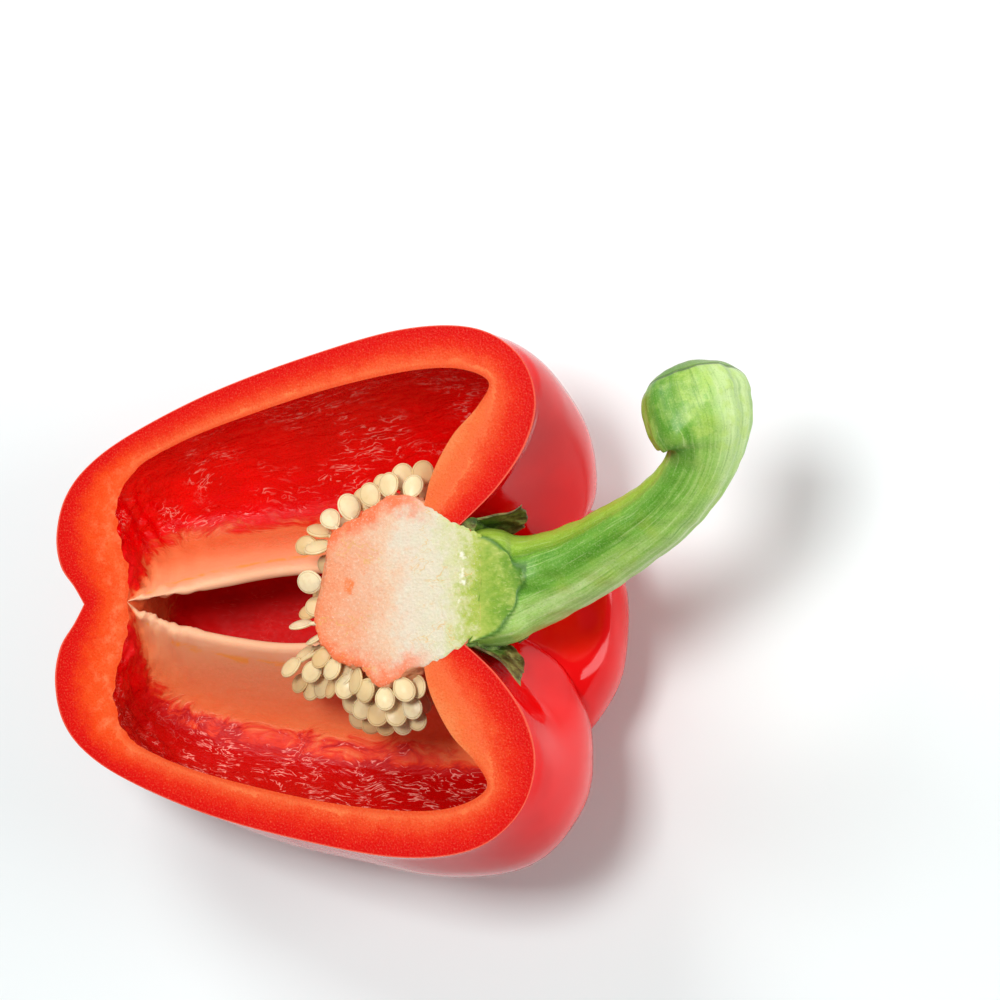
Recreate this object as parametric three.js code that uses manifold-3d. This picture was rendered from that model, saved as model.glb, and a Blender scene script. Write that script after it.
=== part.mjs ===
// Half of a red bell pepper, cut lengthwise, lying on its back with the cut face up.
//
// Everything is built in the fruit's own frame, in millimetres: x runs along the fruit from the
// blossom end to the stem, y across the cut face, and z up out of the cut face, which is z = 0.
// Round the x axis the angle psi goes from 0 (the +y cut edge) through 90 (the back, straight
// down) to 180 (the -y cut edge). A group then tips the half to the way it lies on the table.
import * as THREE from "three";
import { mergeVertices } from "three/addons/utils/BufferGeometryUtils.js";
import Module from "manifold-3d";

const wasm = await Module();
wasm.setup();

// How it lies: the stem end is raised, and the back is flattened where it rests.
const TIP = 12;
const TABLE_DEPTH = 32.3;
const CENTRE_X = 59.7;
const CENTRE_Y = -2.2;

// Clear space between neighbouring pieces.
const GAP = 0.3;

// Outlines as [x, distance from the axis], from the blossom end to the stem. The two skin
// outlines share their ends, and so do the two of the hollow.
const SKIN_RIDGE = [
  [0.5, 0], [-1.6, 3.2], [-4.8, 7.5], [-5.8, 13.5], [-4, 20.5], [1, 26.2], [10, 31.4], [26, 37.6],
  [45, 42.6], [64, 46], [78, 45], [86.5, 39.5], [89.8, 31.5], [88, 23.5], [82.5, 16], [75, 9.5],
];
const SKIN_FURROW = [
  [0.5, 0], [0.6, 3.2], [0.4, 7.5], [0.2, 13], [1.5, 18.5], [5, 23.5], [12.5, 29], [27, 34.8],
  [45, 38.8], [62, 40.8], [75, 40.5], [82.5, 36], [85.2, 29], [84, 21.5], [80.5, 15], [75, 9.5],
];
const HOLLOW_RIDGE = [
  [9.5, 0], [9.9, 3.2], [9, 8], [7, 14], [7.2, 20], [11, 25.5], [20.5, 30], [34, 34.2],
  [50, 37.6], [65, 38.8], [75, 38], [80.8, 34.5], [78.8, 30.8], [74, 26], [70, 19], [68.5, 13],
];
const HOLLOW_FURROW = [
  [9.5, 0], [9.9, 3.2], [9.4, 8], [9.2, 12], [10.5, 17], [14, 21.8], [22, 26.2], [35, 30.2],
  [50, 33.2], [63, 34.6], [71, 33], [75.5, 29.5], [75, 26], [72.5, 22], [70, 17.5], [68.5, 13],
];

// The three lobes, and the two furrows between them. A septum stands inside each furrow, and
// its free edge takes the same steps as the hollow's outlines.
const LOBES = [
  { middle: 16, half: 48 },
  { middle: 95.5, half: 31.5 },
  { middle: 164, half: 37 },
];
const FURROWS = [
  {
    psi: 64,
    edge: [
      [9.5, 0], [10.5, 1], [12, 1.4], [14, 1.8], [16.5, 2.7], [20, 4.3], [26, 7], [34, 10.2],
      [43, 10.8], [50, 10], [55, 8], [59, 7], [62, 7], [65, 8], [67.3, 10.5], [68.5, 13],
    ],
  },
  {
    psi: 127,
    edge: [
      [9.5, 0], [10.2, 2], [11.5, 3.4], [13.5, 4.9], [16, 6.3], [19.5, 7.8], [25, 9.8], [34, 12],
      [43, 12.2], [50, 10.5], [55, 8], [59, 7], [62, 7], [65, 8], [67.3, 10.5], [68.5, 13],
    ],
  },
];
const FULLNESS = [[0, 0.945], [45, 0.975], [95, 1.012], [155, 1.12], [180, 0.995]];

// Across a septum: distance from its middle, and how far it stands up from wall to free edge.
const SEPTUM_SIDE = [[7, 0], [3.8, 0.06], [2.3, 0.2], [1.6, 0.5], [1.25, 0.85], [0.8, 0.98]];
const SEPTUM_ROOT = 7;
const ROOT_SPREAD_RADIUS = 14;

// The fruit's middle runs below the cut, so round the stem everything is deeper than it is wide.
const STEM_SINK = 0.6;

// The core: its outline about a line at CORE_Y, from the end inside the hollow to the stem.
const CORE_Y = -1.2;
const CORE = [
  [48.3, 0], [48.5, 4.5], [49.3, 8.6], [51.8, 11.2], [56, 13], [60.5, 15.6], [64.5, 15.9],
  [68, 14.2], [71, 12.3], [75, 9.9], [79.35, 9.3],
];

// Seeds stand on a thin bed that wraps the core.
const BED = { to: 1.5, lastX: 66.8 };
const SEED = {
  long: 2,
  wide: 1.7,
  thick: 0.62,
  sides: 7,
  near: 2.7,
  far: 4.4,
  root: 0.55,
  spacing: 2.3,
  clearance: 3.7,
  nearPast: 64,
};
const SEED_FACING = new THREE.Vector3(0.46, -0.14, 0.87);

// The calyx lies on the skin round the stem, with a pointed leaf over each of these angles.
const CALYX = { thick: 1.2, start: 0.985, collar: 0.02, lift: 0.45 };
const CALYX_LEAVES = [
  { middle: 5, half: 16, long: 0.036, curl: 5 },
  { middle: 50, half: 15, long: 0.055, curl: 4 },
  { middle: 93, half: 15, long: 0.06, curl: 3.5 },
  { middle: 136, half: 15, long: 0.055, curl: 4 },
  { middle: 174, half: 16, long: 0.058, curl: 4.5 },
];

// The stem's middle line with its radius at each point.
const STEM = [
  [77, -1.2, -4.2, 11], [80.5, -1, -5.8, 9.5], [84.5, -0.4, -7.2, 8], [89.5, 0.9, -7.4, 7.1],
  [96, 3, -6.8, 6.5], [103, 5.9, -5.4, 6], [110.5, 9.4, -3.8, 5.6], [116.5, 13.8, -2, 5.5],
  [119.8, 18.3, -0.5, 5.9], [120.3, 22.2, 0.5, 7.6], [119, 25.6, 0.9, 8.8],
  [117.9, 28.4, 1, 8.3], [117.1, 30.2, 1, 7],
];
const STEM_RIBS = { count: 5, height: 0.045 };

// How finely each surface is stepped.
const STEPS = { skinRows: 26, lobeColumns: 10, hollowRows: 24, hollowColumns: 6, core: 18 };

// Small helpers.

const radians = (degrees) => (degrees * Math.PI) / 180;
const steps = (from, to, count) =>
  Array.from({ length: count + 1 }, (_, i) => from + ((to - from) * i) / count);

function smoothstep(from, to, value) {
  const t = Math.min(Math.max((value - from) / (to - from), 0), 1);
  return t * t * (3 - 2 * t);
}

// A point of a smooth curve through the given points, for u from 0 to 1.
function along(points, u) {
  const last = points.length - 1;
  const place = Math.min(Math.max(u, 0), 1) * last;
  const i = Math.min(Math.floor(place), last - 1);
  const t = place - i;
  const before = points[Math.max(i - 1, 0)];
  const after = points[Math.min(i + 2, last)];
  return points[i].map((start, k) => {
    const end = points[i + 1][k];
    const leave = (end - before[k]) / 2;
    const arrive = (after[k] - start) / 2;
    const cubic = 2 * start - 2 * end + leave + arrive;
    const square = -3 * start + 3 * end - 2 * leave - arrive;
    return ((cubic * t + square) * t + leave) * t + start;
  });
}

// A point at distance r from the axis, with the sinking round the stem.
function place(x, r, psi, y = 0) {
  const sink = smoothstep(68, 76, x) * (1 - smoothstep(10, 30, r));
  const depth = r * Math.sin(radians(psi)) * (1 + STEM_SINK * sink);
  return new THREE.Vector3(x, y + r * Math.cos(radians(psi)), -depth);
}

// Outward direction of a surface given as a function of u and psi.
function outward(surface, u, psi) {
  const step = 0.004;
  const inside = Math.min(Math.max(u, 0.02), 1 - step);
  const round = Math.min(Math.max(psi, 1), 179);
  const forward = surface(inside + step, round).sub(surface(inside - step, round));
  const sideways = surface(inside, round + 1).sub(surface(inside, round - 1));
  return forward.cross(sideways).normalize();
}

// Triangles that become one closed solid.
class Shell {
  constructor() {
    this.points = [];
  }

  triangle(a, b, c) {
    const area = b.clone().sub(a).cross(c.clone().sub(a)).length();
    if (area > 1e-7) this.points.push(a, b, c);
  }

  // Fills between neighbouring rows of equal length.
  sheet(rows, flip = false) {
    for (let i = 0; i + 1 < rows.length; i++) {
      for (let j = 0; j + 1 < rows[i].length; j++) {
        const [a, b] = flip ? [rows[i][j + 1], rows[i + 1][j + 1]] : [rows[i][j], rows[i + 1][j]];
        const [d, c] = flip ? [rows[i][j], rows[i + 1][j]] : [rows[i][j + 1], rows[i + 1][j + 1]];
        this.triangle(a, b, c);
        this.triangle(a, c, d);
      }
    }
  }

  // Fills between two rows that may differ in length.
  seam(first, second, flip = false) {
    let i = 0;
    let j = 0;
    while (i + 1 < first.length || j + 1 < second.length) {
      const firstNext = (i + 1) / (first.length - 1);
      const secondNext = (j + 1) / (second.length - 1);
      const moveFirst = j + 1 === second.length || (i + 1 < first.length && firstNext <= secondNext);
      const third = moveFirst ? first[i + 1] : second[j + 1];
      if (flip) this.triangle(first[i], third, second[j]);
      else this.triangle(first[i], second[j], third);
      if (moveFirst) i++;
      else j++;
    }
  }

  // Fills a flat end, given its rim.
  cap(rim, flip = false) {
    for (let i = 1; i + 1 < rim.length; i++) {
      if (flip) this.triangle(rim[0], rim[i + 1], rim[i]);
      else this.triangle(rim[0], rim[i], rim[i + 1]);
    }
  }

  solid() {
    return solidOf(new THREE.BufferGeometry().setFromPoints(this.points));
  }
}

function solidOf(geometry) {
  const bare = geometry.index ? geometry.toNonIndexed() : geometry.clone();
  bare.deleteAttribute("normal");
  bare.deleteAttribute("uv");
  const merged = mergeVertices(bare, 1e-4);
  const mesh = new wasm.Mesh({
    numProp: 3,
    vertProperties: merged.attributes.position.array,
    triVerts: new Uint32Array(merged.index.array),
  });
  return new wasm.Manifold(mesh);
}

function geometryOf(solid) {
  const mesh = solid.getMesh();
  const geometry = new THREE.BufferGeometry();
  geometry.setAttribute("position", new THREE.BufferAttribute(mesh.vertProperties, 3));
  geometry.setIndex(new THREE.BufferAttribute(mesh.triVerts, 1));
  geometry.computeVertexNormals();
  return geometry;
}

// The outer body alone, with its sealed hollows filled and loose scraps dropped.
function outerBody(solid) {
  return solid.decompose().reduce((best, body) => (body.volume() > best.volume() ? body : best));
}

function boxSolid(low, high) {
  const size = new THREE.Vector3().subVectors(high, low);
  const middle = new THREE.Vector3().addVectors(low, high).multiplyScalar(0.5);
  const box = new THREE.BoxGeometry(size.x, size.y, size.z);
  return solidOf(box.translate(middle.x, middle.y, middle.z));
}

// The lie of the half on the table, as the matrix from its own frame to the table's.
function lying() {
  const tip = new THREE.Matrix4().makeRotationY(-radians(TIP));
  const lift = new THREE.Matrix4().makeTranslation(-CENTRE_X, -CENTRE_Y, TABLE_DEPTH);
  return lift.multiply(tip);
}

// Flesh.

function lobe(psi, flat, round) {
  let fullest = 0;
  for (const { middle, half } of LOBES) {
    const off = Math.abs(psi - middle) / half;
    if (off < 1) fullest = (1 - off ** flat) ** round;
  }
  return fullest;
}

function fullness(psi) {
  let i = 0;
  while (i + 2 < FULLNESS.length && psi > FULLNESS[i + 1][0]) i++;
  const [[from, low], [to, high]] = [FULLNESS[i], FULLNESS[i + 1]];
  return low + (high - low) * smoothstep(from, to, psi);
}

function between(furrow, ridge, share, u, psi) {
  const [lowX, lowR] = along(furrow, u);
  const [highX, highR] = along(ridge, u);
  const r = (lowR + (highR - lowR) * share) * fullness(psi);
  return place(lowX + (highX - lowX) * share, r, psi);
}

function skin(u, psi) {
  return between(SKIN_FURROW, SKIN_RIDGE, lobe(psi, 2.6, 0.62), u, psi);
}

function hollow(u, psi) {
  return between(HOLLOW_FURROW, HOLLOW_RIDGE, lobe(psi, 2.2, 0.8), u, psi);
}

// Angles across the three lobes, closer together towards the furrows.
function skinAngles() {
  const angles = [0];
  let from = 0;
  for (const { middle, half } of LOBES) {
    const to = Math.min(middle + half, 180);
    const start = Math.asin(Math.max((from - middle) / half, -1));
    const end = Math.asin(Math.min((to - middle) / half, 1));
    for (const turn of steps(start, end, STEPS.lobeColumns).slice(1)) {
      angles.push(middle + half * Math.sin(turn));
    }
    from = to;
  }
  return angles;
}

function septumPoint(u, furrow, side, height) {
  const rootRadius = Math.max(along(HOLLOW_FURROW, u)[1], ROOT_SPREAD_RADIUS);
  const root = hollow(u, furrow.psi + (side / rootRadius) * (180 / Math.PI));
  const [x, r] = along(furrow.edge, u);
  const edge = place(x, r * fullness(furrow.psi), furrow.psi);
  const shift = side * Math.min(1, r / 6);
  edge.y -= shift * Math.sin(radians(furrow.psi));
  edge.z -= shift * Math.cos(radians(furrow.psi));
  return root.lerp(edge, height);
}

// One line across the hollow from cut edge to cut edge: wall, septum, wall, septum, wall.
function hollowRow(u) {
  const rootRadius = Math.max(along(HOLLOW_FURROW, u)[1], ROOT_SPREAD_RADIUS);
  const reach = (SEPTUM_ROOT / rootRadius) * (180 / Math.PI);
  const row = [];
  let from = 0;
  for (const furrow of FURROWS) {
    const wall = steps(from, furrow.psi - reach, STEPS.hollowColumns).slice(0, -1);
    row.push(...wall.map((psi) => hollow(u, psi)));
    row.push(...SEPTUM_SIDE.map(([side, height]) => septumPoint(u, furrow, -side, height)));
    row.push(septumPoint(u, furrow, 0, 1));
    const back = [...SEPTUM_SIDE].reverse();
    row.push(...back.slice(0, -1).map(([side, height]) => septumPoint(u, furrow, side, height)));
    from = furrow.psi + reach;
  }
  row.push(...steps(from, 180, STEPS.hollowColumns).map((psi) => hollow(u, psi)));
  return row;
}

function fleshSolid() {
  const angles = skinAngles();
  const outside = steps(0, 1, STEPS.skinRows).map((u) => angles.map((psi) => skin(u, psi)));
  const inside = steps(0, 1, STEPS.hollowRows).map(hollowRow);
  const column = (rows, at) => rows.map((row) => row.at(at));
  const shell = new Shell();
  shell.sheet(outside);
  shell.sheet(inside, true);
  shell.seam(column(outside, 0), column(inside, 0));
  shell.seam(column(outside, -1), column(inside, -1), true);
  shell.seam(outside.at(-1), inside.at(-1));
  const table = new THREE.BoxGeometry(200, 200, 20).translate(0, 0, -10);
  const rest = solidOf(table.applyMatrix4(lying().invert()));
  const bedRoom = coreSolid(BED.to + GAP, 4).subtract(pastBed(GAP));
  return shell.solid().subtract(coreSolid(GAP, 4)).subtract(bedRoom).subtract(rest);
}

// Core.

function core(u, psi) {
  const [x, r] = along(CORE, u);
  const squared = Math.sin(radians(2 * psi)) ** 2;
  const swell = (0.13 - 0.07 * Math.cos(radians(psi))) * squared - 0.05 * Math.sin(radians(psi)) ** 2;
  return place(x, r * (1 + swell * (1 - smoothstep(64, 71, x))), psi, CORE_Y);
}

function coreOffset(u, psi, distance) {
  const point = core(u, psi);
  if (u === 0) return point.setX(point.x - distance);
  return point.addScaledVector(outward(core, u, psi), distance);
}

// The core itself. Swollen, and raised past the cut face, it is the room that its neighbours leave.
function coreSolid(swollen = 0, raised = 0) {
  const angles = steps(0, 180, STEPS.core);
  const rows = steps(0, 1, STEPS.core).map((u) => {
    const row = angles.map((psi) => coreOffset(u, psi, swollen));
    row[0].z = 0;
    row.at(-1).z = 0;
    const lift = (point) => point.clone().setZ(raised);
    return raised ? [lift(row[0]), ...row, lift(row.at(-1))] : row;
  });
  const shell = new Shell();
  shell.sheet(rows);
  shell.seam(rows.map((row) => row[0]), rows.map((row) => row.at(-1)));
  shell.cap(rows.at(-1), true);
  return shell.solid();
}

// Seeds.

// A repeatable random draw between -1 and 1.
function drawer(seed) {
  let state = seed;
  return () => {
    state = (state * 1103515245 + 12345) % 2147483648;
    return (state / 2147483648) * 2 - 1;
  };
}

function bedSolid() {
  const above = boxSolid(new THREE.Vector3(30, -40, -GAP), new THREE.Vector3(90, 40, 20));
  return coreSolid(BED.to, 4).subtract(coreSolid(GAP, 8)).subtract(above).subtract(pastBed(0));
}

// All that lies farther along the core than the seeds reach.
function pastBed(gap) {
  return boxSolid(
    new THREE.Vector3(BED.lastX + gap, -40, -40),
    new THREE.Vector3(BED.lastX + 40, 40, 40),
  );
}

// Where seeds stand: rings round the core, clear of the septa. Every other seed of a ring stands
// farther out, on a longer root.
function seedPlaces() {
  const draw = drawer(7);
  const places = [];
  for (const [ring, u] of steps(0.09, 0.615, 7).entries()) {
    const [x, r] = along(CORE, u);
    const count = Math.max(4, Math.round((Math.PI * (r + 1.5)) / SEED.spacing));
    for (let k = 0; k < count; k++) {
      const psi = (180 * (k + 0.5 + 0.18 * (ring % 2 ? 1 : -1) + 0.12 * draw())) / count;
      const near = (k + ring) % 2 || x > SEED.nearPast;
      const distance = (near ? SEED.near : SEED.far) + 0.3 * draw();
      const aside = FURROWS.map((furrow) => Math.abs(Math.sin(radians(psi - furrow.psi))));
      const clear = Math.min(...aside) * (r + distance) > SEED.clearance;
      const turn = [draw(), draw(), draw()];
      if (clear && psi > 4 && psi < 176) places.push({ u: u + 0.012 * draw(), psi, distance, turn });
    }
  }
  return places;
}

// A flat seed: a round rim drawn out to a root in the bed, with a low peak on each face. It faces
// up out of the cut as far as its root lets it.
function seedSolid({ u, psi, distance, turn }) {
  const normal = outward(core, u, psi);
  const middle = coreOffset(u, psi, distance);
  const facing = SEED_FACING.clone().addScaledVector(new THREE.Vector3(...turn), 0.55);
  facing.addScaledVector(normal, -0.9 * facing.dot(normal)).normalize();
  const wide = new THREE.Vector3().crossVectors(facing, normal).normalize();
  const long = new THREE.Vector3().crossVectors(wide, facing).normalize();
  const rim = steps(0, 360, SEED.sides).map((angle) =>
    middle
      .clone()
      .addScaledVector(long, -SEED.long * Math.cos(radians(angle)))
      .addScaledVector(wide, -SEED.wide * Math.sin(radians(angle))),
  );
  rim[0] = middle.clone().addScaledVector(normal, SEED.root - distance);
  rim[SEED.sides] = rim[0];
  const peak = (side) => middle.clone().addScaledVector(facing, side * SEED.thick);
  const shell = new Shell();
  shell.sheet([rim.map(() => peak(1)), rim, rim.map(() => peak(-1))]);
  return shell.solid();
}

function seedsSolid() {
  const above = boxSolid(new THREE.Vector3(30, -40, 1.6), new THREE.Vector3(90, 40, 20));
  const fused = seedPlaces().reduce((bed, seat) => bed.add(seedSolid(seat)), bedSolid());
  return outerBody(fused.subtract(coreSolid(GAP, 4)).subtract(above));
}

// Calyx.

function calyxSolid() {
  const none = { share: 0, long: 0, curl: 0 };
  const leafAt = (psi) =>
    CALYX_LEAVES.map((leaf) => ({ ...leaf, share: 1 - Math.abs(psi - leaf.middle) / leaf.half }))
      .reduce((best, leaf) => (leaf.share > best.share ? leaf : best), none);
  const face = (height) =>
    steps(0, 1, 4).map((s) =>
      steps(1.5, 178.5, 60).map((psi) => {
        const leaf = leafAt(psi);
        const tip = leaf.share ** 0.7;
        const u = CALYX.start - s * (CALYX.collar + leaf.long * tip);
        const curl = leaf.curl * s * s * tip;
        const thick = height * CALYX.thick * (1 - 0.4 * s);
        return skin(u, psi).addScaledVector(outward(skin, u, psi), CALYX.lift + curl + thick);
      }),
    );
  const [low, high] = [face(0), face(1)];
  const edge = (rows, at) => rows.map((row) => row.at(at));
  const shell = new Shell();
  shell.sheet(high, true);
  shell.sheet(low);
  shell.sheet([high[0], low[0]]);
  shell.sheet([low.at(-1), high.at(-1)]);
  shell.sheet([edge(low, 0), edge(high, 0)]);
  shell.sheet([edge(high, -1), edge(low, -1)]);
  const above = boxSolid(new THREE.Vector3(60, -40, 0), new THREE.Vector3(120, 40, 20));
  return shell.solid().subtract(above).subtract(coreSolid(GAP, 4)).subtract(stemTube(GAP));
}

// Stem.

// The whole tube of the stem, or, swollen, the room that its neighbours leave for it.
function stemTube(swollen = 0) {
  const line = new THREE.CatmullRomCurve3(
    STEM.map(([x, y, z]) => new THREE.Vector3(x, y, z)),
    false,
    "centripetal",
  );
  const sides = 20;
  const count = 26;
  const frames = line.computeFrenetFrames(count);
  const rows = steps(0, 1, count).map((u, i) => {
    const middle = line.getPointAt(u);
    const radius = stemRadius(middle) + swollen;
    return steps(0, 360, sides).map((angle) => {
      const rib = 1 + STEM_RIBS.height * Math.cos(radians(STEM_RIBS.count * angle));
      return middle
        .clone()
        .addScaledVector(frames.normals[i], radius * rib * Math.cos(radians(angle % 360)))
        .addScaledVector(frames.binormals[i], radius * rib * Math.sin(radians(angle % 360)));
    });
  });
  const shell = new Shell();
  shell.sheet(rows, true);
  shell.cap(rows[0].slice(0, -1), true);
  shell.cap(rows.at(-1).slice(0, -1));
  return shell.solid();
}

// The stem stands clear of the core's end, and the knife left its base flat.
function stemSolid() {
  const base = boxSolid(new THREE.Vector3(50, -40, -40), new THREE.Vector3(79.65, 40, 40));
  const above = boxSolid(new THREE.Vector3(50, -40, 0), new THREE.Vector3(87, 40, 40));
  return stemTube().subtract(base).subtract(above);
}

// The radius at the nearest point of the stem's list.
function stemRadius(point) {
  let best = STEM[0][3];
  let nearest = Infinity;
  for (const u of steps(0, 1, 240)) {
    const [x, y, z, radius] = along(STEM, u);
    const distance = point.distanceTo(new THREE.Vector3(x, y, z));
    if (distance < nearest) [nearest, best] = [distance, radius];
  }
  return best;
}

// Assembly.

function piece(name, solid, color, roughness) {
  const material = new THREE.MeshStandardMaterial({ color, roughness, metalness: 0 });
  const mesh = new THREE.Mesh(geometryOf(solid), material);
  mesh.name = name;
  return mesh;
}

const pepper = new THREE.Group();
pepper.add(piece("flesh", fleshSolid(), 0xd81410, 0.35));
pepper.add(piece("placenta", coreSolid(), 0xf2c8a4, 0.6));
pepper.add(piece("seeds", seedsSolid(), 0xe2cda4, 0.55));
pepper.add(piece("calyx", calyxSolid(), 0x5d5a28, 0.7));
pepper.add(piece("stem", stemSolid(), 0x7ab04e, 0.5));
pepper.applyMatrix4(lying());

const half = new THREE.Group();
half.add(pepper);

export default half;
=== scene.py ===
# The finished look of the halved red bell pepper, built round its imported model.
#
# Shapes are worked out in the fruit's own frame in millimetres, as the solids are: x from the
# blossom end to the stem, y across the cut face, z up out of it. The angle psi goes round the
# x axis from 0 (the +y cut edge) through 90 (the back) to 180 (the -y cut edge).
import math

import bmesh
import bpy
import numpy as np
from mathutils import Matrix, Vector


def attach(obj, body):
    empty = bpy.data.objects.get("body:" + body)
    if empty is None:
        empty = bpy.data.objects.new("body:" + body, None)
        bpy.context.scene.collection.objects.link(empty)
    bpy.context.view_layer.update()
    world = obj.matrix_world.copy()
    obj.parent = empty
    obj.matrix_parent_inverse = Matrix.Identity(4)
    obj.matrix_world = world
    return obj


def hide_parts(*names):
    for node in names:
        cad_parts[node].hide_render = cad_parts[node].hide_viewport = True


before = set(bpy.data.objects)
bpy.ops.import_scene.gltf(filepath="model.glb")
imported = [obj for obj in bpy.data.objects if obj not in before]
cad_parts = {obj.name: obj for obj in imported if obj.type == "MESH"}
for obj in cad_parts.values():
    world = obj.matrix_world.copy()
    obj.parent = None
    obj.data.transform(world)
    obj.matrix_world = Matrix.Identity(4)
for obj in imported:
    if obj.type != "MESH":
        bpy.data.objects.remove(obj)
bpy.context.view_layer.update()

# How the half lies on the table.
TIP = math.radians(12)
TABLE_DEPTH = 32.3
CENTRE_X = 59.7
CENTRE_Y = -2.2
MM = 0.001

# Outlines as (x, distance from the axis), from the blossom end to the stem.
SKIN_RIDGE = [
    (0.5, 0), (-1.6, 3.2), (-4.8, 7.5), (-5.8, 13.5), (-4, 20.5), (1, 26.2), (10, 31.4), (26, 37.6),
    (45, 42.6), (64, 46), (78, 45), (86.5, 39.5), (89.8, 31.5), (88, 23.5), (82.5, 16), (75, 9.5),
]
SKIN_FURROW = [
    (0.5, 0), (0.6, 3.2), (0.4, 7.5), (0.2, 13), (1.5, 18.5), (5, 23.5), (12.5, 29), (27, 34.8),
    (45, 38.8), (62, 40.8), (75, 40.5), (82.5, 36), (85.2, 29), (84, 21.5), (80.5, 15), (75, 9.5),
]
HOLLOW_RIDGE = [
    (9.5, 0), (9.9, 3.2), (9, 8), (7, 14), (7.2, 20), (11.5, 25.2), (21, 29.4), (34, 33),
    (50, 36.5), (65, 38.4), (75, 38.2), (81.2, 35.4), (79, 31), (74, 26), (70, 19), (68.5, 13),
]
HOLLOW_FURROW = [
    (9.5, 0), (9.9, 3.2), (9.4, 8), (9.2, 12), (10.5, 17), (14, 21.8), (22, 26.2), (35, 30.2),
    (50, 33.2), (63, 34.6), (71, 33), (75.5, 29.5), (75, 26), (72.5, 22), (70, 17.5), (68.5, 13),
]
LOBES = [(16, 48), (95.5, 31.5), (164, 37)]
FURROWS = [64, 127]
SEPTUM_EDGES = [
    [
        (9.5, 0), (10.5, 1), (12, 1.4), (14, 1.8), (16.5, 2.7), (20, 4.3), (26, 7), (34, 10.2),
        (43, 10.8), (50, 10), (55, 8), (59, 7), (62, 7), (65, 8), (67.3, 10.5), (68.5, 13),
    ],
    [
        (9.5, 0), (10.2, 2), (11.5, 3.4), (13.5, 4.9), (16, 6.3), (19.5, 7.8), (25, 9.8), (34, 12),
        (43, 12.2), (50, 10.5), (55, 8), (59, 7), (62, 7), (65, 8), (67.3, 10.5), (68.5, 13),
    ],
]
FULLNESS = [(0, 0.945), (45, 0.975), (95, 1.012), (155, 1.12), (180, 0.995)]
SEPTUM_SIDE = [(7, 0), (3.8, 0.06), (2.3, 0.2), (1.6, 0.5), (1.25, 0.85), (0.8, 0.98), (0, 1)]
SEPTUM_ROOT = 7
ROOT_SPREAD_RADIUS = 14
STEM_SINK = 0.6

# The core's outline on either side of a line at CORE_Y.
CORE_Y = -1.2
CORE_UPPER = [
    (48.9, 0), (49.2, 4.6), (50.1, 7), (50.2, 9.8), (52.6, 12), (55.9, 13.1), (59, 14.9),
    (62, 16.3), (66, 16.1), (69, 14.3), (72, 12.5), (75.5, 10.4), (79.35, 8.1),
]
CORE_LOWER = [
    (48.9, 0), (47.4, 3.4), (47.6, 5.6), (49.4, 9.2), (53.4, 11.8), (56.4, 12.7), (58.4, 14.6),
    (60.4, 15.6), (63, 14.9), (66.3, 13.3), (70, 12.3), (75, 10.1), (79.35, 7.7),
]
# How far the core's face stands out of the cut.
CORE_PROUD = 0.14

# The rings of seeds are laid out by a plainer outline of the core.
CORE_PLAIN = [
    (48.3, 0), (48.5, 4.5), (49.3, 8.6), (51.8, 11.2), (56, 13), (60.5, 15.6), (64.5, 15.9),
    (68, 14.2), (71, 12.3), (75, 9.9), (79.35, 9.3),
]
# Rings of seeds: how many, from where to where along the core as shares of its length, and
# the space for each seed in millimetres.
RINGS = 8
RING_SPAN = (0.09, 0.615)
SEED_PITCH = 2.3
# The way that most seeds face, which is towards the viewer.
SEED_FACING = Vector((0.46, -0.14, 0.87))
# Seeds that show: middle, and how many degrees each is rolled about its root.
FRONT_SEEDS = [
    (44.5, 8, -2, 35), (47, 7.5, -1.5, 65), (46.5, 10.5, -3, 50), (49.3, 12.3, -2, 10),
    (53.6, 14, -1, 0), (54.5, 15.6, -4, 0), (57.4, 15.8, -1.5, 8), (61.4, 17.2, -0.8, 0),
    (62, 19, -4.5, 0), (66, 16.6, -1, -10), (65.6, 19.4, -5, 0), (58, 17.8, -4.5, -20),
    (46, 1.5, -0.8, 0), (46.5, -2.5, -2.5, 20), (43.5, -3, -5, 30), (43.5, -5.5, -2, 55),
    (46, -8, -3, 70), (42, -10, -6, 70), (48, -11.5, -1.5, 45), (40.5, -12.5, -4, 55),
    (45, -13.5, -3.5, 50), (40.5, -15, -7, 30), (50.5, -13.5, -1, 45), (52, -14.5, -2.5, 60),
    (43, -16, -7, 55), (45.5, -16, -6, 50), (48.5, -16, -4.5, 60), (52.5, -16.5, -2, 30),
    (55, -15.8, -1.2, 40), (57, -17.5, -0.8, 10), (61, -19, -0.6, 0), (64.6, -17.6, -0.8, 0),
    (66, -17, -3, 40), (51.5, -18.5, -6, 20), (54.5, -20, -4.5, 0), (57.8, -21, -4, 0),
    (61.5, -21.3, -3.5, 0), (64.3, -20.3, -4, 20), (54, -22.3, -8.5, 0), (57, -22.5, -8, 0),
    (60.5, -22.5, -7.5, 0), (63.5, -22, -7, 0), (50.5, -21, -10, 20),
]
# A seed's stalk: how far from root to tip, and how wide it is there in STALK_RADIUS.
STALK_PROFILE = [(0, 0), (0, 1.3), (0.25, 1.12), (0.5, 0.95), (0.75, 0.78), (1, 0.6), (1, 0)]
STALK_RADIUS = 0.42

# The stem: points of its middle line, each with its radius.
STEM = [
    (75.2, -1.2, -3.4, 9.6), (80.5, -1, -5.8, 9.5), (84.5, -0.4, -7.2, 8), (89.5, 0.9, -7.4, 7.1),
    (96, 3, -6.8, 6.5), (103, 5.9, -5.4, 6), (110.5, 9.4, -3.8, 5.6), (116.5, 13.8, -2, 5.5),
    (119.8, 18.3, -0.5, 5.9), (120.3, 22.2, 0.4, 7.6), (119.3, 25.4, 0.8, 8.8),
    (118.4, 28, 1.1, 8.7), (117.8, 30, 1.3, 7.6), (117.4, 31.3, 1.4, 5.4), (117.2, 31.9, 1.4, 3),
]
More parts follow.
